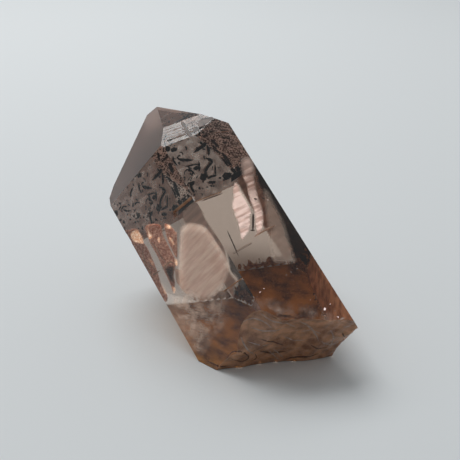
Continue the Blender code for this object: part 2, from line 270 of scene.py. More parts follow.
# Marks on the break and its rim: width, then points on the enlarged photograph
RIB_VEINS = [
    (0.35, [(505, 770), (540, 760), (575, 772), (600, 792)]),
    (0.28, [(530, 792), (570, 802), (620, 800), (650, 790)]),
    (0.30, [(560, 742), (600, 768), (640, 776), (685, 792)]),
    (0.35, [(690, 768), (725, 785), (750, 815), (760, 835)]),
    (0.30, [(495, 822), (512, 858), (540, 882)]),
    (0.22, [(590, 868), (608, 885), (625, 902)]),
    (0.22, [(605, 862), (625, 880), (640, 895)]),
    (0.35, [(822, 768), (850, 756)]),
    (0.30, [(800, 800), (812, 825), (800, 858)]),
    (0.30, [(770, 838), (800, 850), (830, 840)]),
    (0.25, [(640, 820), (680, 835), (720, 832)]),
    (0.25, [(520, 838), (560, 850), (600, 846)]),
    (0.30, [(845, 790), (870, 785)]),
    (0.25, [(700, 805), (735, 800), (770, 812)]),
]
RUST_VEINS = [
    (0.35, [(452, 888), (470, 872), (500, 874), (522, 892), (505, 905), (478, 902), (462, 896)]),
    (0.25, [(530, 905), (548, 895), (544, 880)]),
    (0.50, [(560, 870), (600, 878), (650, 872)]),
    (0.40, [(380, 905), (410, 918), (450, 922)]),
    (0.45, [(640, 900), (700, 890), (760, 880)]),
    (0.35, [(840, 808), (850, 822), (862, 818)]),
    (0.50, [(600, 755), (650, 752), (700, 762)]),
    (0.30, [(560, 830), (600, 838), (640, 852)]),
    (0.35, [(735, 850), (765, 862), (790, 858)]),
]

# Frosted patch on the inner side of side 4
FROST_ON_4 = [(8.4, 35.0), (0.2, 35.0), (1.9, 32.5), (2.9, 30.5), (3.0, 28.0), (2.9, 25.9),
              (2.7, 23.9), (2.8, 21.4), (3.9, 18.9), (5.1, 16.3), (4.9, 13.4), (6.5, 12.6),
              (8.4, 12.4)]

# Iron stain that climbs the feet of sides 4 and 5
STAIN_ON_5 = [(-12.2, 7.0), (-12.2, 14.4), (-10.0, 15.6), (-7.0, 15.2), (-4.5, 16.4), (-1.5, 16.0),
              (2.0, 14.8), (5.0, 13.6), (8.4, 12.6), (8.4, 7.0)]
STAIN_ON_4 = [(-6.0, 4.0), (-6.0, 11.5), (0.0, 12.0), (4.0, 12.4), (8.4, 13.0), (8.4, 4.0)]
BLACK_STEP = [(2.5, 34.3), (8.9, 34.7), (9.6, 36.2), (2.6, 35.5)]

# Fine lines: face, depth under it, width, then points across the face and along it, in mm
DARK_CRACKS = [
    ("side 5", 0.3, 0.24, [(-3.5, 24.4), (-3.1, 21.0), (-2.7, 17.8)]),
    ("side 5", 0.3, 0.50, [(-8.0, 13.6), (-7.8, 13.5)]),
    ("side 5", 0.3, 0.50, [(-6.4, 14.5), (-6.2, 14.3)]),
    ("band", 0.3, 0.22, [(-4.6, 26.4), (-3.8, 24.4), (-3.9, 22.8)]),
]

# Ledges of the stepped facet whose sides turn from the light: width and pixels on it
LEDGE_LINES = [
    (0.16, [(180.5, 122.5), (185, 130), (190, 136.5)]),
    (0.14, [(181, 128), (186, 131), (192, 134)]),
    (0.07, [(162.5, 141), (175, 136), (187, 132)]),
    (0.06, [(163, 137.5), (174, 133.5), (184, 130)]),
    (0.07, [(163.5, 133), (172, 130.5), (182, 126.5)]),
    (0.05, [(164, 130.5), (172, 128), (180, 125)]),
    (0.06, [(162, 143), (172, 139.5), (188, 134.5)]),
    (0.10, [(186, 131), (194, 128.5), (200, 126.5)]),
    (0.08, [(183, 125), (190, 122.5), (196, 120)]),
    (0.10, [(196, 121), (204, 118.5), (212, 117.5)]),
    (0.08, [(189.98, 120.5), (193, 125.5)]),
]
LEDGE_FACES = [
    [(198, 121.5), (204, 118.5), (212, 117), (214, 119), (208, 123), (203, 126), (199, 127.5),
     (197, 125)],
    [(181, 122), (184, 122), (189, 130), (193, 136.5), (189, 137), (185, 131.5)],
    [(192, 128), (197, 126.5), (200, 130), (194, 133)],
]
BRIGHT_LINES = [
    ("side 5", 0.3, 0.28, [(-1.7, 33.4), (-4.0, 33.3), (-7.3, 33.1)]),
]


def linear(hex_colour):
    """Linear colour with alpha 1 from an sRGB hex value such as "7a6a5f"."""
    parts = [int(hex_colour[i:i + 2], 16) / 255.0 for i in (0, 2, 4)]
    curve = [c / 12.92 if c <= 0.04045 else ((c + 0.055) / 1.055) ** 2.4 for c in parts]
    return (*curve, 1.0)


def node(tree, kind, inputs=None, **settings):
    """Add a node, set its attributes, and give each input a value or a link from a socket."""
    made = tree.nodes.new(kind)
    for name, value in settings.items():
        setattr(made, name, value)
    for socket, value in (inputs or {}).items():
        if isinstance(value, bpy.types.NodeSocket):
            tree.links.new(value, made.inputs[socket])
        else:
            made.inputs[socket].default_value = value
    return made


def new_material(name):
    """Empty node material and its node tree."""
    material = bpy.data.materials.new(name)
    material.use_nodes = True
    material.node_tree.nodes.clear()
    return material, material.node_tree


def crystal_matrix():
    """Matrix from the upright crystal, axis on Z, to its place on the floor."""
    turn = Matrix.Rotation(LEAN_HEADING, 4, "Z") @ Matrix.Rotation(LEAN, 4, "Y")
    return Matrix.Translation(AXIS_FOOT) @ turn @ Matrix.Rotation(ROLL, 4, "Z")


def face_normal(face):
    """Outward normal of a named face in the model's frame."""
    return (face_place(face).to_3x3() @ Vector((0.0, 0.0, 1.0))).normalized()


def plane_place(azimuth, slope, distance):
    """Matrix from a plane's own millimetres, X across it, Y towards the tip and Z outward."""
    azimuth, slope = math.radians(azimuth), math.radians(slope)
    outward = Vector((math.cos(azimuth) * math.cos(slope), math.sin(azimuth) * math.cos(slope),
                      math.sin(slope)))
    across = Vector((-math.sin(azimuth), math.cos(azimuth), 0.0))
    axes = Matrix((across, outward.cross(across), outward)).transposed().to_4x4()
    at = Matrix.Translation(outward * distance * MM)
    return crystal_matrix() @ at @ axes @ Matrix.Diagonal((MM, MM, MM, 1.0))


def face_place(face, depth=0.0):
    """Matrix of a named plane, or of the plane at a depth in mm under it."""
    azimuth, slope, distance = {**FACES, **INNER_PLANES}[face]
    return plane_place(azimuth, slope, distance - depth)


def photo_ray(x, y):
    """Direction in which the camera sees a pixel of the photograph."""
    reach = 0.5 * PHOTO_SIDE / math.tan(0.5 * VIEW_ANGLE)
    ahead = Vector((x - 0.5 * PHOTO_SIDE, 0.5 * PHOTO_SIDE - y, -reach))
    return (Matrix.Rotation(CAMERA_TILT, 3, "X") @ ahead).normalized()


def meet(place, start, way):
    """Where a straight line meets a plane, in the plane's own mm."""
    into = place.inverted()
    at, step = into @ start, into.to_3x3() @ way
    return at - step * (at.z / step.z)


def shown(front, pixel, place):
    """What a pixel shows on a plane in the stone, once the front face has bent the view."""
    way, outward = photo_ray(*pixel), face_normal(front)
    entry = face_place(front) @ meet(face_place(front), CAMERA_AT, way)
    slant = -way.dot(outward) / QUARTZ_IOR
    fall = math.sqrt(1.0 - (1.0 - (slant * QUARTZ_IOR) ** 2) / QUARTZ_IOR ** 2)
    return meet(place, entry, way / QUARTZ_IOR + outward * (slant - fall))


def seen(front, pixels, place):
    """Points of a plane, in its own mm to a tenth, that pixels show through a front face."""
    spots = [shown(front, pixel, place) for pixel in pixels]
    return [(round(spot.x, 1), round(spot.y, 1)) for spot in spots]


def seen_on(face, pixels):
    """Points of a face, in its own mm to a tenth, that pixels show."""
    spots = [meet(face_place(face), CAMERA_AT, photo_ray(*pixel)) for pixel in pixels]
    return [(round(spot.x, 1), round(spot.y, 1)) for spot in spots]


def tilted_place(front, pixel, depth, tilt):
    """Matrix of a tilted plane through what a pixel shows at a depth in mm under a face."""
    level = face_place(front, depth)
    spot = level @ shown(front, pixel, level)
    return plane_place(*tilt, round((plane_place(*tilt, 0.0).inverted() @ spot).z, 2))


def curve_through(points, spacing, closed=False):
    """Points along a smooth curve through the given corners."""
    corners = [Vector(point) for point in points]
    count = len(corners)
    spans = count if closed else count - 1
    line = []
    for i in range(spans):
        if closed:
            before, start, end, after = (corners[(i + k) % count] for k in (-1, 0, 1, 2))
        else:
            before, start = corners[max(i - 1, 0)], corners[i]
            end, after = corners[i + 1], corners[min(i + 2, count - 1)]
        steps = max(1, round((end - start).length / spacing))
        for step in range(steps):
            t = step / steps
            line.append(0.5 * (2.0 * start + (end - before) * t
                               + (2.0 * before - 5.0 * start + 4.0 * end - after) * t ** 2
                               + (3.0 * start - before - 3.0 * end + after) * t ** 3))
    if not closed:
        line.append(corners[-1])
    return line


def ridge(bm, place, points, width, height, rng):
    """Low ridge along a curve, uneven in width, with tapered ends."""
    line = curve_through(points, 0.18)
    last = len(line) - 1
    rings = []
    for i, at in enumerate(line):
        ahead = line[min(i + 1, last)] - line[max(i - 1, 0)]
        side = Vector((-ahead.y, ahead.x)).normalized()
        taper = min(1.0, 0.25 + 3.0 * min(i, last - i) / last)
        half = 0.5 * width * taper * (1.0 + 0.28 * rng.uniform(-1.0, 1.0))
        ring = []
        for share, rise in ((-1.0, 0.0), (-0.45, 1.0), (0.45, 1.0), (1.0, 0.0)):
            flat = at + side * half * share
            ring.append(bm.verts.new(place @ Vector((flat.x, flat.y, -rise * height * taper))))
        rings.append(ring)
    for near, far in zip(rings, rings[1:]):
        for k in range(4):
            j = (k + 1) % 4
            bm.faces.new((near[k], near[j], far[j], far[k]))
    bm.faces.new(rings[0])
    bm.faces.new(list(reversed(rings[-1])))


def lump(bm, place, centre, size, height, rng):
    """Low lump with an uneven outline."""
    count = 12
    phase = rng.uniform(0.0, math.tau)
    reach = [1.0 + 0.22 * rng.uniform(-1.0, 1.0) for _ in range(count)]
    rings = []
    for scale, rise in ((1.0, 0.0), (0.72, 0.8), (0.35, 1.0)):
        ring = []
        for k in range(count):
            angle = phase + math.tau * k / count
            u = centre[0] + size[0] * reach[k] * scale * math.cos(angle)
            v = centre[1] + size[1] * reach[k] * scale * math.sin(angle)
            ring.append(bm.verts.new(place @ Vector((u, v, -rise * height))))
        rings.append(ring)
    for low, high in zip(rings, rings[1:]):
        for k in range(count):
            j = (k + 1) % count
            bm.faces.new((low[k], low[j], high[j], high[k]))
    bm.faces.new(list(reversed(rings[0])))
    bm.faces.new(rings[-1])


def film(bm, place, points, cell, relief, fade, seed, ridges=(0.0, 0.0)):
    """Thin uneven film inside an outline; its "cover" falls to 0 towards the outline.

    Ridges cut it into sloping strips, six cells wide: their turn from X and their slope.
    Along the strips a cell is three times as long.
    """
    turn, slope = ridges
    place = place @ Matrix.Rotation(turn, 4, "Z")
    outline = [Matrix.Rotation(-turn, 2) @ p for p in curve_through(points, cell, closed=True)]
    left = min(p.x for p in outline)
    sheet = bmesh.new()
    sheet.faces.new([sheet.verts.new((p.x, p.y, 0.0)) for p in outline])
    bmesh.ops.triangulate(sheet, faces=sheet.faces[:])
    for axis in range(2):
        low = min(p[axis] for p in outline)
        high = max(p[axis] for p in outline)
        normal = Vector((1.0, 0.0, 0.0)) if axis == 0 else Vector((0.0, 1.0, 0.0))
        size = 3.0 * cell if slope and axis == 1 else cell
        for step in range(1, math.ceil((high - low) / size)):
            geometry = sheet.verts[:] + sheet.edges[:] + sheet.faces[:]
            bmesh.ops.bisect_plane(sheet, geom=geometry, dist=1e-5,
                                   plane_co=normal * (low + step * size), plane_no=normal)
    bmesh.ops.remove_doubles(sheet, verts=sheet.verts[:], dist=1e-4)
    ring = np.array([p[:] for p in outline])
    ahead = np.roll(ring, -1, axis=0) - ring
    layer = bm.verts.layers.float.get("cover") or bm.verts.layers.float.new("cover")
    twins = {}
    for vertex in sheet.verts:
        flat = np.array(vertex.co[:2])
        share = np.clip(((flat - ring) * ahead).sum(1) / (ahead ** 2).sum(1), 0.0, 1.0)
        gap = np.linalg.norm(ring + ahead * share[:, None] - flat, axis=1).min()
        wave = noise.noise(Vector((vertex.co.x, vertex.co.y, seed)) * 0.9)
        strip = round((vertex.co.x - left) / cell, 2) % 6.0
        depth = relief * (0.5 + 0.5 * wave) + slope * cell * strip
        twin = bm.verts.new(place @ Vector((vertex.co.x, vertex.co.y, -depth)))
        twin[layer] = min(1.0, gap / fade)
        twins[vertex] = (twin, strip)
    for face in sheet.faces:
        corners = [twins[vertex] for vertex in face.verts]
        strips = [strip for _, strip in corners]
        if slope == 0.0 or max(strips) - min(strips) < 1.5:
            bm.faces.new([twin for twin, _ in corners])
    sheet.free()


def trim(bm):
    """Cut off what reaches past the crystal's faces, and drop what pokes out of its breaks."""
    for face in FACES:
        normal = face_normal(face)
        geometry = bm.verts[:] + bm.edges[:] + bm.faces[:]
        bmesh.ops.bisect_plane(bm, geom=geometry, dist=1e-8, plane_no=normal, clear_outer=True,
                               plane_co=face_place(face, 0.4 * SKIN).translation)
    solid = surface_of_body()
    outside = []
    for vertex in bm.verts:
        spot, normal = solid.find_nearest(vertex.co)[:2]
        if (vertex.co - spot).dot(normal) > -0.02 * MM:
            outside.append(vertex)
    bmesh.ops.delete(bm, geom=outside, context="VERTS")


def add_piece(name, bm, material, inside=True):
    """Object from a finished bmesh that rides with the crystal."""
    if inside:
        trim(bm)
    bmesh.ops.recalc_face_normals(bm, faces=bm.faces[:])
    mesh = bpy.data.meshes.new(name)
    bm.to_mesh(mesh)
    bm.free()
    mesh.materials.append(material)
    piece = bpy.data.objects.new(name, mesh)
    bpy.context.scene.collection.objects.link(piece)
    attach(piece, BODY)
    return piece


class QuartzBodySettings(bpy.types.PropertyGroup):
    """Sizes and colours of the clear body"""

    tint: FloatVectorProperty(
        name="Smoke Colour", description="Colour that a depth of quartz lets through",
        subtype="COLOR", size=3, min=0.0, max=1.0, default=linear("d9c4b1")[:3])
    density: FloatProperty(
        name="Smoke Density", description="Absorption per metre", default=52.0, min=0.0)
    ior: FloatProperty(
        name="IOR", description="Refractive index of quartz", default=QUARTZ_IOR,
        min=1.0, max=2.5)
    fine_flecks: IntProperty(
        name="Fine Flecks", description="Number of small dark curls on the hidden tip",
        default=150, min=0)


class QuartzStageSettings(bpy.types.PropertyGroup):
    """Floor, light and view"""

    floor_colour: FloatVectorProperty(
        name="Floor Colour", description="Colour of the pale floor",
        subtype="COLOR", size=3, min=0.0, max=1.0, default=linear("d9dcdd")[:3])
    lamp_power: FloatProperty(
        name="Softbox Power", description="Power of the overhead softbox",
        subtype="POWER", unit="POWER", default=5.3)
    sky: FloatProperty(
        name="Room Light", description="Brightness of the even room light", default=0.32)
    view_angle: FloatProperty(
        name="View Angle", description="Horizontal angle of view of the camera",
        subtype="ANGLE", unit="ROTATION", default=VIEW_ANGLE)


class QUARTZ_OT_stage(bpy.types.Operator):
    """Add the pale floor, the soft light and the camera"""

    bl_idname = "quartz.stage"
    bl_label = "Stage"

    def execute(self, context):
        settings = context.scene.quartz_stage
        build_floor(settings)
        build_light(context.scene, settings)
        build_camera(context.scene, settings)
        return {"FINISHED"}


class QUARTZ_OT_body(bpy.types.Operator):
    """Give the crystal its clear smoky body, its polished faces and its rough break"""

    bl_idname = "quartz.body"
    bl_label = "Smoky Body"

    def execute(self, context):
        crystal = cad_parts[NODE]
        material = smoky_quartz(context.scene.quartz_body)
        for index in range(len(crystal.material_slots)):
            crystal.material_slots[index].material = material
        return {"FINISHED"}


class QUARTZ_OT_flecks(bpy.types.Operator):
    """Add the dark oxide flecks and the fine dust on the hidden tip faces"""

    bl_idname = "quartz.flecks"
    bl_label = "Phantom Flecks"

    def execute(self, context):
        rng = np.random.default_rng(11)
        place = face_place("tip 5", SKIN)
        bm = bmesh.new()
        for width, points in FLECK_STROKES:
            ridge(bm, place, points, width, 0.30, rng)
        u, v, radius, width = FLECK_RING
        ring = [(u + radius * math.cos(0.8 * k), v + radius * math.sin(0.8 * k)) for k in range(7)]
        ridge(bm, place, ring, width, 0.20, rng)
        for u, v, half_u, half_v in FLECK_BLOBS:
            lump(bm, place, (u, v), (half_u, half_v), 0.30, rng)
        for face, width, points in BACK_STROKES:
            ridge(bm, face_place(face, SKIN), points, width, 0.25, rng)
        plate(bm, face_place("side 4", 1.6), BLACK_STEP, 0.25)
        add_piece("dark_flecks", bm, dark_oxide())

        bm = bmesh.new()
        count = context.scene.quartz_body.fine_flecks
        scatter_curls(bm, "tip 5", (-17.0, 12.0), (17.0, 36.0), count, rng)
        scatter_curls(bm, "tip 4", (-8.0, 9.0), (14.0, 30.0), count, rng)
        scatter_curls(bm, "tip chip", (-8.0, 9.0), (20.0, 34.0), count, rng)
        scatter_dots(bm, "tip 4", (-8.0, 9.0), (16.0, 30.0), rng)
        scatter_dots(bm, "tip chip", (-9.0, 9.0), (14.0, 32.0), rng)
        add_piece("fine_flecks", bm, brown_oxide())

        bm = bmesh.new()
        for width, points in FLECK_STROKES:
            shifted = [(u + 0.42 * width + 0.12, v + 0.30 * width + 0.10) for u, v in points]
            ridge(bm, face_place("tip 5", 2.0 * SKIN), shifted, 0.24, 0.05, rng)
        add_piece("etch_glints", bm, pale_etching())

        for name, faces, colours, least in (
                ("phantom_dust", ("tip 5",), ("835a47", "b5846a"), 0.50),
                ("back_dust", ("tip 4", "tip chip"), ("a1887e", "fce0d6"), 0.38)):
            bm = bmesh.new()
            for index, face in enumerate(faces):
                inner_skin(bm, lambda normal, f=face: normal.dot(face_normal(f)) > 0.9995,
                           0.5 * SKIN, 1.2, 0.02, float(index))
            add_piece(name, bm, phantom_dust(name, *colours, least))
        return {"FINISHED"}


class QUARTZ_OT_healed(bpy.types.Operator):
    """Add the copper-brown healed crack with its amber flakes, dark root and pale threads"""

    bl_idname = "quartz.healed"
    bl_label = "Healed Crack"

    def execute(self, context):
        rng = np.random.default_rng(12)
        crack = face_place("healed crack")
        frost = frosted_plane("pale_stripes", 0.85)
        for name, outlines, lift, cell, fade, material in (
                ("healed_patches", HEALED_PATCHES, 0.6, 0.06, 0.3, copper_film()),
                ("dark_patches", SHADE_PATCHES, 1.0, 0.10, 0.9, shaded_film()),
                ("pale_stripes", PALE_STRIPES, 1.0, 0.06, 0.5, frost)):
            bm = bmesh.new()
            for index, pixels in enumerate(outlines):
                film(bm, face_place("healed crack", -lift), seen("side 1", pixels, crack), cell,
                     0.10, fade, 2.0 + index, LOW_RIDGES)
            add_piece(name, bm, material)
        bm = bmesh.new()
        for index, (pixel, depth, pixels) in enumerate(AMBER_PATCHES):
            place = tilted_place("side 1", pixel, depth, AMBER_TILT)
            film(bm, place, seen("side 1", pixels, place), 0.3, 0.15, 0.5, 6.0 + index)
        add_piece("amber_flakes", bm, amber_scale())
        bm = bmesh.new()
        place = face_place("healed crack", -1.2)
        for width, pixels in HEALED_LINES:
            ridge(bm, place, seen("side 1", pixels, crack), width, 0.08, rng)
        add_piece("healed_lines", bm, pale_etching())
        return {"FINISHED"}


class QUARTZ_OT_gleams(bpy.types.Operator):
    """Add the bright striated growth planes, the pink haze and the frosted patch"""

    bl_idname = "quartz.gleams"
    bl_label = "Bright Growth Planes"

    def execute(self, context):
        rng = np.random.default_rng(14)
        left, right = face_place("left gleam"), face_place("right gleam")
        bm = bmesh.new()
        for index, pixels in enumerate(GLEAM_LEFT):
            film(bm, left, seen("side 2", pixels, left), 0.5, 0.10, 0.4, 20.0 + index)
        for index, pixels in enumerate(GLEAM_RIGHT):
            film(bm, right, seen("side 2", pixels, right), 0.5, 0.10, 0.4, 22.0 + index)
        for x, y, depth, size in GLINTS:
            place = tilted_place("side 2", (x, y), depth, GLINT_TILT)
            u, v = seen("side 2", [(x, y)], place)[0]
            outline = [(u - size, v - 0.4 * size), (u, v - size), (u + size, v + 0.3 * size),
                       (u, v + size)]
            film(bm, place, outline, 0.3, 0.03, 0.1, 30.0 + u)
        add_piece("bright_growth", bm, pearl_plane("pearl_plane", 1.0))
        bm = bmesh.new()
        for index, pixels in enumerate(GLEAM_TOP):
            film(bm, face_place("right gleam", 0.2), seen("side 2", pixels, right), 0.5, 0.10, 1.0,
                 24.0 + index)
        add_piece("dim_growth", bm, pearl_plane("dim_growth", 0.85))
        bm = bmesh.new()
        for index, pixels in enumerate(GLEAM_EDGE):
            film(bm, right, seen("side 2", pixels, right), 0.5, 0.10, 0.8, 25.0 + index)
        add_piece("edge_growth", bm, soft_plane())
        bm = bmesh.new()
        for index, outline in enumerate(HAZE_PATCH):
            film(bm, face_place("haze"), outline, 0.06, 0.10, 1.8, 26.0 + index, LIT_RIDGES)
        add_piece("pink_haze", bm, haze_plane())
        bm = bmesh.new()
        # Nearly black sheets inside side 4 and the chip: painted shade
        for index, (face, outline) in enumerate(PAINTED_SHADE_SHEETS):
            film(bm, face_place(face, 1.5 * SKIN), outline, 0.6, 0.03, 0.4, 28.0 + index)
        add_piece("painted_shade_sheets", bm, painted_shade_film())
        bm = bmesh.new()
        film(bm, face_place("side 4", SKIN), FROST_ON_4, 0.08, 0.03, 0.5, 27.0, BACK_RIDGES)
        add_piece("frosted_patch", bm, frosted_plane("frosted_patch", 0.85))
        for name, lines, material in (("gleam_gaps", GLEAM_DARK, brown_oxide()),
                                      ("pale_streaks", GLEAM_PALE, pale_etching())):
            bm = bmesh.new()
            for width, pixels in lines:
                ridge(bm, face_place("right gleam", -0.3), seen("side 2", pixels, right), width,
                      0.06, rng)
            add_piece(name, bm, material)
        return {"FINISHED"}


class QUARTZ_OT_stain(bpy.types.Operator):
    """Add the iron stain on the broken foot and where it climbs the hidden sides"""

    bl_idname = "quartz.stain"
    bl_label = "Iron Stain"

    def execute(self, context):
        rng = np.random.default_rng(15)
        bm = bmesh.new()
        inner_skin(bm, lambda normal: normal.z < -0.98, SKIN, 0.8, 0.25, 31.0)
        layer = bm.verts.layers.float["cover"]
        for vertex in bm.verts:
            share = max((vertex.co.x / MM + 4.4) / 4.0, (-4.0 - vertex.co.y / MM) / 6.0)
            vertex[layer] = min(1.0, max(0.0, share))
        add_piece("stained_base", bm, limonite_crust())
        bm = bmesh.new()
        inner_skin(bm, lambda normal: normal.dot(FRONT_BREAK) > 0.6, SKIN, 1.0, 0.03, 32.0)
        inner_skin(bm, is_right_break, SKIN, 1.0, 0.03, 33.0)
        add_piece("stained_breaks", bm, limonite_wash())
        bm = bmesh.new()
        film(bm, face_place("side 5", SKIN), STAIN_ON_5, 0.6, 0.10, 2.2, 34.0)
        film(bm, face_place("side 4", SKIN), STAIN_ON_4, 0.6, 0.10, 2.2, 35.0)
        add_piece("stain_tufts", bm, limonite_tufts())
        bm = bmesh.new()
        film(bm, face_place("side 1", 2.0), CLOUD_ON_1, 0.10, 0.10, 4.0, 36.0, LIT_RIDGES)
        film(bm, face_place("side 2", 1.5), CLOUD_ON_2, 0.50, 0.30, 6.5, 37.0)
        add_piece("foot_clouds", bm, foot_cloud())
        for name, veins, material in (("break_ribs", RIB_VEINS, pale_etching()),
                                      ("rust_veins", RUST_VEINS, rust_vein())):
            bm = bmesh.new()
            for width, pixels in veins:
                vein(bm, pixels, width, rng)
            add_piece(name, bm, material)
        return {"FINISHED"}


class QUARTZ_OT_cracks(bpy.types.Operator):
    """Add the thin healed cracks and the bright lines of growth ledges"""

    bl_idname = "quartz.cracks"
    bl_label = "Fine Cracks"

    def execute(self, context):
        rng = np.random.default_rng(13)
        for name, lines, material in (("dark_cracks", DARK_CRACKS, dark_oxide()),
                                      ("bright_lines", BRIGHT_LINES, pale_etching())):
            bm = bmesh.new()
            for face, depth, width, points in lines:
                ridge(bm, face_place(face, depth), points, width, 0.08, rng)
            add_piece(name, bm, material)
        bm = bmesh.new()
        place = face_place("band", -0.03)
        for width, pixels in LEDGE_LINES:
            ridge(bm, place, seen_on("band", pixels), width, 0.02, rng)
        for pixels in LEDGE_FACES:
            plate(bm, place, seen_on("band", pixels), 0.02)
        add_piece("band_ledges", bm, shaded_ledge(), inside=False)
        return {"FINISHED"}


class QUARTZ_PT_panel(bpy.types.Panel):
    """Sizes, colours and building steps of the quartz point"""

    bl_idname = "QUARTZ_PT_panel"
    bl_label = "Smoky Quartz Point"
    bl_space_type = "VIEW_3D"
    bl_region_type = "UI"
    bl_category = "Quartz"

    def draw(self, context):
        for group in (context.scene.quartz_body, context.scene.quartz_stage):
            column = self.layout.column()
            for name in group.bl_rna.properties.keys():
                if name not in ("rna_type", "name"):
                    column.prop(group, name)
        for operator in STEPS:
            self.layout.operator(operator.bl_idname)


def is_right_break(normal):
    """True for the right break's faces, which lie between sides 3 and 4."""
    sides = (face_normal("side 3"), face_normal("side 4"))
    return normal.dot(RIGHT_BREAK) > 0.80 and all(normal.dot(side) < 0.9990 for side in sides)


def plate(bm, place, corners, height):
    """Flat plate with straight edges."""
    rings = []
    for rise in (0.0, height):
        rings.append([bm.verts.new(place @ Vector((u, v, -rise))) for u, v in corners])
    for k in range(len(corners)):
        j = (k + 1) % len(corners)
        bm.faces.new((rings[0][k], rings[0][j], rings[1][j], rings[1][k]))
    bm.faces.new(rings[0])
    bm.faces.new(list(reversed(rings[1])))


def surface_of_body():
    """Search tree of the solid's surface."""
    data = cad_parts[NODE].data
    return BVHTree.FromPolygons([v.co for v in data.vertices], [p.vertices for p in data.polygons])


def struck(solid, x, y):
    """Place on the solid, to a tenth of a mm, that a pixel of the enlarged photograph shows."""
    way = photo_ray(ZOOM_CORNER + x / ZOOM, ZOOM_CORNER + y / ZOOM)
    spot = solid.ray_cast(CAMERA_AT, way)[0]
    return Vector([round(part / MM, 1) for part in spot]) * MM


def vein(bm, pixels, width, rng):
    """Thin ribbon that follows the solid's surface a little inside it, with tapered ends."""
    solid = surface_of_body()
    line = curve_through([struck(solid, *pixel) for pixel in pixels], 0.3 * MM)
    last = len(line) - 1
    rims = []
    for i, at in enumerate(line):
        spot, normal = solid.find_nearest(at)[:2]
        side = (line[min(i + 1, last)] - line[max(i - 1, 0)]).cross(normal).normalized()
        taper = min(1.0, 0.2 + 3.0 * min(i, last - i) / last)
        half = 0.5 * width * MM * taper * (1.0 + 0.35 * rng.uniform(-1.0, 1.0))
        middle = spot - normal * 0.06 * MM
        rims.append([bm.verts.new(middle + side * half), bm.verts.new(middle - side * half)])
    for near, far in zip(rims, rims[1:]):
        bm.faces.new((near[0], near[1], far[1], far[0]))


def room(point):
    """Distance in mm from a place inside the solid to the nearest of its named faces."""
    gaps = []
    for face in FACES:
        place = face_place(face)
        normal = face_normal(face)
        gaps.append(-(point - place.translation).dot(normal) / MM)
    return min(gaps)


def scatter_curls(bm, face, across, along, count, rng):
    """Small curved flecks at seeded places of a face."""
    place = face_place(face, SKIN)
    made = 0
    while made < count:
        u, v = rng.uniform(*across), rng.uniform(*along)
        made += 1
        if room(place @ Vector((u, v, 0.0))) < 0.9 * SKIN:
            continue
        turn = rng.uniform(0.0, math.tau)
        bend = rng.uniform(-2.4, 2.4)
        reach = rng.uniform(0.25, 0.75)
        points = []
        for share in (-1.0, 0.0, 1.0):
            angle = turn + 0.5 * bend * share
            points.append((u + reach * share * math.cos(angle), v + reach * share * math.sin(angle)))
        ridge(bm, place, points, rng.uniform(0.20, 0.42), 0.12, rng)


def scatter_dots(bm, face, across, along, rng):
    """Rows of fine dots over a face."""
    place = face_place(face, SKIN)
    pitch = 0.62
    for row in range(round((along[1] - along[0]) / pitch)):
        for column in range(round((across[1] - across[0]) / pitch)):
            u = across[0] + pitch * (column + 0.5 * (row % 2) + rng.uniform(-0.3, 0.3))
            v = along[0] + pitch * (row + rng.uniform(-0.3, 0.3))
            size = rng.uniform(0.10, 0.28)
            if room(place @ Vector((u, v, 0.0))) >= 0.9 * SKIN:
                lump(bm, place, (u, v), (size, size), 0.08, rng)


def inner_skin(bm, wanted, depth, cell, relief, seed):
    """Copy of the solid's faces whose normal is wanted, cut finer and set a little inside."""
    sheet = bmesh.new()
    sheet.from_mesh(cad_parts[NODE].data)
    sheet.normal_update()
    inward = [vertex.co - vertex.normal * depth * MM for vertex in sheet.verts]
    others = [face for face in sheet.faces if not wanted(face.normal)]
    for vertex, spot in zip(sheet.verts, inward):
        vertex.co = spot
    bmesh.ops.delete(sheet, geom=others, context="FACES")
    for axis in range(3):
        normal = Vector([1.0 if k == axis else 0.0 for k in range(3)])
        low = min(vertex.co[axis] for vertex in sheet.verts)
        high = max(vertex.co[axis] for vertex in sheet.verts)
        for step in range(1, math.ceil((high - low) / (cell * MM))):
            geometry = sheet.verts[:] + sheet.edges[:] + sheet.faces[:]
            bmesh.ops.bisect_plane(sheet, geom=geometry, dist=1e-8, plane_no=normal,
                                   plane_co=normal * (low + step * cell * MM))
    sheet.normal_update()
    layer = bm.verts.layers.float.get("cover") or bm.verts.layers.float.new("cover")
    twins = {}
    for vertex in sheet.verts:
        wave = noise.noise(vertex.co * 900.0 + Vector((0.0, 0.0, seed)))
        lift = 0.0 if vertex.is_boundary else relief * (0.5 + 0.5 * wave) * MM
        twins[vertex] = bm.verts.new(vertex.co - vertex.normal * lift)
        twins[vertex][layer] = 1.0
    for face in sheet.faces:
        bm.faces.new([twins[vertex] for vertex in face.verts])
    sheet.free()


def crystal_axes(tree):
    """Place on the crystal in metres, with Z along its axis."""
    place = node(tree, "ShaderNodeTexCoord").outputs["Object"]
    turn = crystal_matrix().to_3x3().inverted().to_euler()
    return node(tree, "ShaderNodeMapping", {"Rotation": turn, "Vector": place}).outputs["Vector"]


def mottle(tree, place, grain, low, high, detail=3.0, stretch=(1.0, 1.0, 1.0)):
    """Noise with a grain size in mm, spread from 0 at its low level to 1 at its high one."""
    scale = [1.0 / (grain * MM * part) for part in stretch]
    spread = node(tree, "ShaderNodeMapping", {"Scale": scale, "Vector": place})
    grains = node(tree, "ShaderNodeTexNoise",
                  {"Scale": 1.0, "Detail": detail, "Vector": spread.outputs["Vector"]})
    level = node(tree, "ShaderNodeMapRange", {0: grains.outputs["Fac"], 1: low, 2: high})
    return level.outputs["Result"]


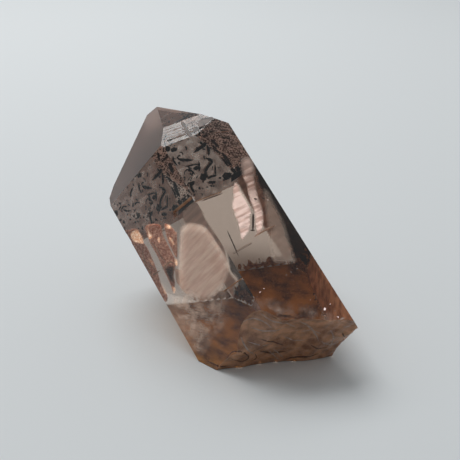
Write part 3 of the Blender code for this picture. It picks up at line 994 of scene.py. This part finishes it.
def mineral(name, grains, colours, roughness, metallic=0.0, covers=None, detail=3.0,
            stretch=(1.0, 1.0, 1.0)):
    """Material whose colour runs over noise, given by its grain in mm and its two levels.

    Covers, for a film, is its alpha where the noise is 0 and what full noise adds to it.
    """
    material, tree = new_material(name)
    level = mottle(tree, crystal_axes(tree), *grains, detail, stretch)
    colour = node(tree, "ShaderNodeMix",
                  {0: level, 6: linear(colours[0]), 7: linear(colours[1])}, data_type="RGBA")
    surface = {"Base Color": colour.outputs[2], "Roughness": roughness, "Metallic": metallic}
    if covers:
        clear = node(tree, "ShaderNodeMath", {0: level, 1: covers[1], 2: covers[0]},
                     operation="MULTIPLY_ADD")
        edge = node(tree, "ShaderNodeAttribute", attribute_name="cover")
        alpha = node(tree, "ShaderNodeMath", {0: edge.outputs["Fac"], 1: clear.outputs[0]},
                     operation="MULTIPLY")
        surface["Alpha"] = alpha.outputs[0]
    shader = node(tree, "ShaderNodeBsdfPrincipled", surface)
    node(tree, "ShaderNodeOutputMaterial", {"Surface": shader.outputs[0]})
    return material


def smoky_quartz(settings):
    """Smoky quartz with natural growth faces and a conchoidal break.

    To the eye: a clear grey-brown stone with glassy flat faces, one of them etched, and a
    frosted break at the foot.
    """
    material, tree = new_material("smoky_quartz")
    normal = node(tree, "ShaderNodeNewGeometry").outputs["True Normal"]
    rough = 0.02
    for direction, low, high, added in ((face_normal("tip 1"), 0.985, 0.995, 0.38),
                                        (FRONT_BREAK, 0.50, 0.62, 0.25)):
        facing = node(tree, "ShaderNodeVectorMath", {0: normal, 1: direction},
                      operation="DOT_PRODUCT")
        share = node(tree, "ShaderNodeMapRange", {0: facing.outputs["Value"], 1: low, 2: high})
        total = node(tree, "ShaderNodeMath", {0: share.outputs["Result"], 1: added, 2: rough},
                     operation="MULTIPLY_ADD")
        rough = total.outputs[0]
    shader = node(tree, "ShaderNodeBsdfPrincipled",
                  {"Base Color": (1.0, 1.0, 1.0, 1.0), "IOR": settings.ior,
                   "Transmission Weight": 1.0, "Roughness": rough})
    passing = node(tree, "ShaderNodeBsdfTransparent", {"Color": linear("dcd7d1")})
    path = node(tree, "ShaderNodeLightPath")
    mix = node(tree, "ShaderNodeMixShader",
               {0: path.outputs["Is Shadow Ray"], 1: shader.outputs[0], 2: passing.outputs[0]})
    smoke = node(tree, "ShaderNodeVolumeAbsorption",
                 {"Color": (*settings.tint, 1.0), "Density": settings.density})
    node(tree, "ShaderNodeOutputMaterial",
         {"Surface": mix.outputs[0], "Volume": smoke.outputs[0]})
    return material


def dark_oxide():
    """Iron and manganese oxide grown on a buried crystal face: near-black, dull and grainy."""
    return mineral("dark_oxide", (0.5, 0.35, 0.70), ("0d0806", "2b1c16"), 0.6)


def shaded_ledge():
    """Sides of fine growth ledges that turn from the light: a glossy dark brown."""
    return mineral("shaded_ledge", (1.2, 0.35, 0.65), ("3a2b25", "6b5448"), 0.4)


def brown_oxide():
    """Thinner oxide specks: brown and dull."""
    return mineral("brown_oxide", (0.8, 0.35, 0.65), ("1f120c", "483227"), 0.6)


def pale_etching():
    """Light scattered by the steep side of an etched or healed line: a pale pinkish grey."""
    return mineral("pale_etching", (0.7, 0.35, 0.65), ("ab8e7f", "dfc8b8"), 0.4)


def rust_vein():
    """Thick limonite in the creases of a break: a dull dark rust."""
    return mineral("rust_vein", (0.6, 0.35, 0.65), ("3f1f06", "804c1f"), 0.8)


def copper_film():
    """Iron oxide in a healed crack: reddish-brown with small coppery scales."""
    return mineral("copper_film", (0.55, 0.42, 0.66), ("b8735d", "ffdcc6"), 0.45, 0.4,
                   (0.92, 0.0), 4.0)


def amber_scale():
    """Thin iron-stained flakes in a crack that mirror the light: pale orange, glossy."""
    return mineral("amber_scale", (0.6, 0.38, 0.60), ("ffd2ac", "fff6ea"), 0.36, 0.85,
                   (0.5, 0.5), 4.0)


def shaded_film():
    """Thick oxide at the root of a healed crack: a soft dark brown."""
    return mineral("shaded_film", (1.2, 0.35, 0.65), ("221511", "4c332a"), 0.6,
                   covers=(1.0, 0.0))


def pearl_plane(name, strength):
    """Growth plane inside clear quartz that mirrors the light: pinkish white with fine
    striations square to the crystal's axis, about 0.9 mm apart."""
    return mineral(name, (0.9, 0.34, 0.56), ("d5b6b0", "fff2f2"), 0.34, 0.7,
                   (0.7 * strength, 0.3 * strength), stretch=(9.0, 9.0, 1.0))


def soft_plane():
    """Worn end of a growth plane: a smooth grey-beige sheen, mostly clear."""
    return mineral("soft_plane", (3.0, 0.30, 0.70), ("c2b9b2", "dad2cb"), 0.40, 0.6, (0.40, 0.0))


def haze_plane():
    """Stepped growth surface that mirrors the light softly: a pinkish sheen with faint
    striations square to the crystal's axis, about 0.8 mm apart."""
    return mineral("haze_plane", (0.8, 0.36, 0.64), ("f0d5c8", "fff2e8"), 0.46, 0.8,
                   (0.68, 0.26), stretch=(8.0, 8.0, 1.0))


def painted_shade_film():
    """Painted shade beside a frosted patch: a nearly black brown film."""
    return mineral("painted_shade_film", (2.5, 0.35, 0.65), ("2a1913", "472f25"), 0.6,
                   covers=(0.88, 0.0))


def frosted_plane(name, strength):
    """Etched quartz surface seen from within: a pale pinkish frost with faint striations."""
    return mineral(name, (1.0, 0.36, 0.64), ("cfb0a1", "fadccd"), 0.6,
                   covers=(strength, 0.0), stretch=(8.0, 8.0, 1.0))


def phantom_dust(name, dark_hex, pale_hex, least):
    """Fine mineral dust on a buried tip: a brown veil of specks about 0.3 mm across."""
    material, tree = new_material(name)
    place = crystal_axes(tree)
    specks = mottle(tree, place, 0.35, 0.48, 0.66, 4.0)
    clouds = mottle(tree, place, 2.2, 0.36, 0.62)
    shade = node(tree, "ShaderNodeMapRange", {0: specks, 3: 1.0, 4: 0.1})
    colour = node(tree, "ShaderNodeMix",
                  {0: shade.outputs["Result"], 6: linear(dark_hex), 7: linear(pale_hex)},
                  data_type="RGBA")
    alpha = node(tree, "ShaderNodeMath", {0: clouds, 1: 0.30, 2: least},
                 operation="MULTIPLY_ADD")
    shader = node(tree, "ShaderNodeBsdfPrincipled",
                  {"Base Color": colour.outputs[2], "Roughness": 0.7, "Alpha": alpha.outputs[0]})
    node(tree, "ShaderNodeOutputMaterial", {"Surface": shader.outputs[0]})
    return material


def limonite_crust():
    """Limonite, an earthy iron oxide, on the broken base: rusty brown clouds about 4 mm
    wide with ochre specks, thinning out over a beige frosted break on the left."""
    material, tree = new_material("limonite_crust")
    place = node(tree, "ShaderNodeTexCoord").outputs["Object"]
    bands = mottle(tree, place, 3.6, 0.38, 0.62, 4.0, (1.3, 1.6, 1.0))
    clouds = mottle(tree, place, 1.8, 0.34, 0.66, 5.0, (1.0, 1.8, 1.0))
    specks = mottle(tree, place, 0.4, 0.54, 0.70)
    ochre = node(tree, "ShaderNodeMath", {0: specks, 1: 0.5}, operation="MULTIPLY")
    cover = node(tree, "ShaderNodeAttribute", attribute_name="cover")
    edge = node(tree, "ShaderNodeMath", {0: clouds, 1: 0.7, 2: cover.outputs["Fac"]},
                operation="MULTIPLY_ADD")
    crust = node(tree, "ShaderNodeMapRange", {0: edge.outputs[0], 1: 0.35, 2: 1.05})
    colour = linear("5c370c")
    for share, over in ((bands, linear("b48034")), (ochre.outputs[0], linear("c38a4e"))):
        layer = node(tree, "ShaderNodeMix", {0: share, 6: colour, 7: over}, data_type="RGBA")
        colour = layer.outputs[2]
    colour = node(tree, "ShaderNodeMix",
                  {0: crust.outputs["Result"], 6: linear("cdb29e"), 7: colour}, data_type="RGBA")
    shader = node(tree, "ShaderNodeBsdfPrincipled",
                  {"Base Color": colour.outputs[2], "Roughness": 0.8})
    node(tree, "ShaderNodeOutputMaterial", {"Surface": shader.outputs[0]})
    return material


def limonite_wash():
    """Thin limonite in the hollows of a conchoidal break: patchy brown over clear quartz,
    with the break's curved ribs, about 1 mm apart, showing paler."""
    material, tree = new_material("limonite_wash")
    place = crystal_axes(tree)
    clouds = mottle(tree, place, 5.0, 0.36, 0.62)
    stains = mottle(tree, place, 2.2, 0.36, 0.64, 5.0)
    centre = node(tree, "ShaderNodeMapping", {"Location": (0.004, 0.018, -0.012), "Vector": place})
    ribs = node(tree, "ShaderNodeTexWave",
                {"Vector": centre.outputs["Vector"], "Scale": 330.0, "Distortion": 9.0,
                 "Detail": 3.0, "Detail Scale": 40.0},
                wave_type="RINGS", rings_direction="SPHERICAL")
    paler = node(tree, "ShaderNodeMath", {0: ribs.outputs["Fac"], 1: 0.34}, operation="MULTIPLY")
    alpha = node(tree, "ShaderNodeMath", {0: clouds, 1: 0.10, 2: 0.88},
                 operation="MULTIPLY_ADD")
    colour = linear("8f5227")
    for share, over in ((stains, linear("e9b184")), (paler.outputs[0], linear("f5d0b1"))):
        layer = node(tree, "ShaderNodeMix", {0: share, 6: colour, 7: over}, data_type="RGBA")
        colour = layer.outputs[2]
    shader = node(tree, "ShaderNodeBsdfPrincipled",
                  {"Base Color": colour, "Roughness": 0.7, "Alpha": alpha.outputs[0]})
    node(tree, "ShaderNodeOutputMaterial", {"Surface": shader.outputs[0]})
    return material


def foot_cloud():
    """Cloud of tiny bubbles and cracks near a broken foot: pale beige wisps 2 mm across."""
    return mineral("foot_cloud", (1.9, 0.36, 0.66), ("fff6ee", "fff6ee"), 0.5, 0.3,
                   (0.0, 0.75), 6.0)


def limonite_tufts():
    """Limonite climbing a face in ragged tufts: brown grains that thin out upwards."""
    material, tree = new_material("limonite_tufts")
    place = crystal_axes(tree)
    grains = mottle(tree, place, 1.2, 0.34, 0.66, 6.0, (1.0, 1.0, 1.6))
    stains = mottle(tree, place, 0.5, 0.35, 0.65)
    cover = node(tree, "ShaderNodeAttribute", attribute_name="cover")
    edge = node(tree, "ShaderNodeMath", {0: grains, 1: cover.outputs["Fac"]}, operation="ADD")
    alpha = node(tree, "ShaderNodeMapRange", {0: edge.outputs[0], 1: 0.75, 2: 1.0})
    colour = node(tree, "ShaderNodeMix", {0: stains, 6: linear("734522"), 7: linear("ba926d")},
                  data_type="RGBA")
    shader = node(tree, "ShaderNodeBsdfPrincipled",
                  {"Base Color": colour.outputs[2], "Roughness": 0.8,
                   "Alpha": alpha.outputs["Result"]})
    node(tree, "ShaderNodeOutputMaterial", {"Surface": shader.outputs[0]})
    return material


def build_floor(settings):
    """Pale painted board under the crystal."""
    bm = bmesh.new()
    bmesh.ops.create_grid(bm, x_segments=1, y_segments=1, size=2.0)
    mesh = bpy.data.meshes.new("floor")
    bm.to_mesh(mesh)
    bm.free()
    floor = bpy.data.objects.new("floor", mesh)
    floor.location.z = -0.02 * MM
    bpy.context.scene.collection.objects.link(floor)
    material, tree = new_material("painted_board")
    paint = node(tree, "ShaderNodeBsdfPrincipled",
                 {"Base Color": (*settings.floor_colour, 1.0), "Roughness": 0.75})
    node(tree, "ShaderNodeOutputMaterial", {"Surface": paint.outputs[0]})
    mesh.materials.append(material)


def aim(obj, target):
    """Turn a lamp so that it faces a place."""
    obj.rotation_euler = (Vector(target) - obj.location).to_track_quat("-Z", "Y").to_euler()


def build_light(scene, settings):
    """Overhead softbox at the back, and an even room that is brighter behind the crystal."""
    lamp = bpy.data.lights.new("softbox", "AREA")
    lamp.shape = "RECTANGLE"
    lamp.size = 0.70
    lamp.size_y = 0.60
    lamp.energy = settings.lamp_power
    obj = bpy.data.objects.new("softbox", lamp)
    obj.location = (-0.25, 0.40, 0.75)
    aim(obj, (0.0, 0.0, 0.02))
    scene.collection.objects.link(obj)
    world = bpy.data.worlds.new("studio")
    world.use_nodes = True
    tree = world.node_tree
    tree.nodes.clear()
    way = node(tree, "ShaderNodeTexCoord").outputs["Generated"]
    ahead = node(tree, "ShaderNodeVectorMath", {0: way, 1: (0.0, 0.75, 0.66)},
                 operation="DOT_PRODUCT").outputs["Value"]
    level = node(tree, "ShaderNodeMapRange",
                 {0: ahead, 1: -0.7, 2: 0.7, 3: 0.25 * settings.sky, 4: 1.35 * settings.sky})
    background = node(tree, "ShaderNodeBackground",
                      {"Color": (0.92, 0.97, 1.0, 1.0), "Strength": level.outputs["Result"]})
    node(tree, "ShaderNodeOutputWorld", {"Surface": background.outputs[0]})
    scene.world = world


def build_camera(scene, settings):
    """Camera of the photograph, with enough light bounces for clear quartz."""
    camera = bpy.data.cameras.new("camera")
    camera.sensor_fit = "HORIZONTAL"
    camera.angle = settings.view_angle
    camera.clip_start = 0.01
    obj = bpy.data.objects.new("camera", camera)
    obj.location = CAMERA_AT
    obj.rotation_euler = (CAMERA_TILT, 0.0, 0.0)
    scene.collection.objects.link(obj)
    scene.camera = obj
    scene.view_settings.view_transform = "Standard"
    scene.cycles.max_bounces = 24
    scene.cycles.glossy_bounces = 16
    scene.cycles.transmission_bounces = 24
    scene.cycles.transparent_max_bounces = 24


STEPS = (QUARTZ_OT_stage, QUARTZ_OT_body, QUARTZ_OT_flecks, QUARTZ_OT_healed, QUARTZ_OT_gleams,
         QUARTZ_OT_stain, QUARTZ_OT_cracks)
CLASSES = (QuartzBodySettings, QuartzStageSettings, *STEPS, QUARTZ_PT_panel)


def register():
    for cls in CLASSES:
        bpy.utils.register_class(cls)
    bpy.types.Scene.quartz_body = PointerProperty(type=QuartzBodySettings)
    bpy.types.Scene.quartz_stage = PointerProperty(type=QuartzStageSettings)


def unregister():
    del bpy.types.Scene.quartz_stage
    del bpy.types.Scene.quartz_body
    for cls in reversed(CLASSES):
        bpy.utils.unregister_class(cls)


def main():
    register()
    for step in STEPS:
        name = step.bl_idname.split(".")[1]
        getattr(bpy.ops.quartz, name)()


if __name__ == "__main__":
    main()
